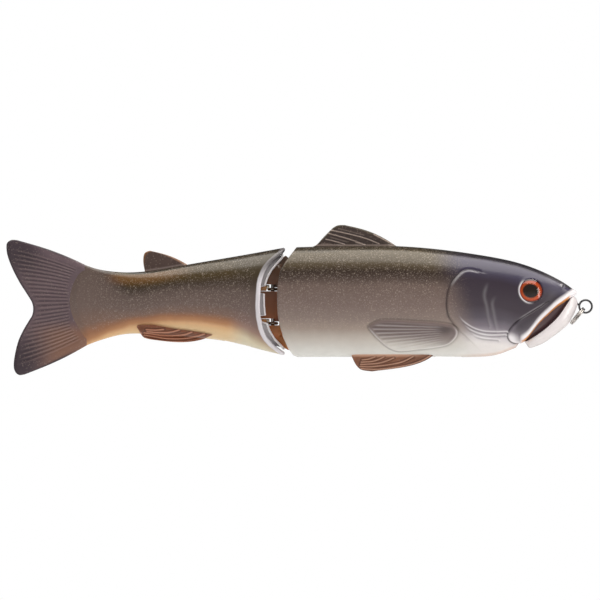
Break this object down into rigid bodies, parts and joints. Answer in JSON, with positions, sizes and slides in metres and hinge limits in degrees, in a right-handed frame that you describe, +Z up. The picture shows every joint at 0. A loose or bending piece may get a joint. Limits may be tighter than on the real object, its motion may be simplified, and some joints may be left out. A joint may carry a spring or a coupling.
{
  "type": "swimbait",
  "caption": "Fish-shaped jointed swimbait: a soft painted skin over hard core halves, with a tail half that swings on a vertical pin, soft fins, domed eyes, and a line tie with a split ring.",
  "frame": {"origin": "centre of the line tie's wire eye, just ahead of the chin, in the fish's middle plane", "axes": "+X from tail to nose, +Z up towards the dorsal fin, so the fish's right side faces -Y"},
  "size_m": [0.2565, 0.032, 0.0657],
  "materials": {
    "front_skin": "semi-gloss painted soft skin, olive-brown back, purple-grey flank, pearl-white belly",
    "rear_skin": "semi-gloss painted soft skin, olive back, orange-cream lower flank, milky edge at the joint",
    "core_plastic": "satin milky plastic",
    "joint_plastic": "translucent amber-brown plastic, satin gloss",
    "dorsal_fin": "dark brown soft fin with lighter rays",
    "pelvic_fin": "red-brown soft fin",
    "adipose_fin": "dark brown soft fin with an orange rim",
    "anal_fin": "orange-brown soft fin",
    "tail_fin": "purple-brown soft fin with fine rays",
    "iris_foil": "printed foil, orange-red ring round a black pupil",
    "eye_resin": "clear cast dome",
    "jaw": "pearl white, semi-gloss",
    "mouth_lining": "dark gloss",
    "bright_wire": "polished stainless wire",
    "ring_wire": "polished stainless spring wire",
    "ballast": "plain cast weight"
  },
  "bodies": {
    "front": {"front_skin": "front_skin", "front_core_right": "core_plastic", "front_core_left": "core_plastic", "joint_block": "joint_plastic", "hinge_pin": "bright_wire", "dorsal_fin": "dorsal_fin", "pelvic_fin_right": "pelvic_fin", "pelvic_fin_left": "pelvic_fin", "eye_iris_right": "iris_foil", "eye_iris_left": "iris_foil", "eye_lens_right": "eye_resin", "eye_lens_left": "eye_resin", "lower_jaw": "jaw", "mouth_lining": "mouth_lining", "line_tie_eye": "bright_wire", "front_hook_pin": "bright_wire", "front_ballast_aft": "ballast", "front_ballast_fore": "ballast"},
    "tail": {"rear_skin": "rear_skin", "rear_core_right": "core_plastic", "rear_core_left": "core_plastic", "upper_hinge_eye": "bright_wire", "lower_hinge_eye": "bright_wire", "adipose_fin": "adipose_fin", "anal_fin": "anal_fin", "tail_fin": "tail_fin", "rear_ballast": "ballast", "rear_hook_pin": "bright_wire"},
    "split_ring": {"split_ring": "ring_wire"}
  },
  "joints": [
    {"name": "tail_swing", "type": "hinge", "parent": "front", "child": "tail", "pos_m": [-0.1368, 0, 0], "axis": [0, 0, 1], "range_deg": [-25, 25]},
    {"name": "ring_swing", "type": "hinge", "parent": "front", "child": "split_ring", "pos_m": [0, 0, 0], "axis": [0, -1, 0], "range_deg": [0, 225]}
  ]
}
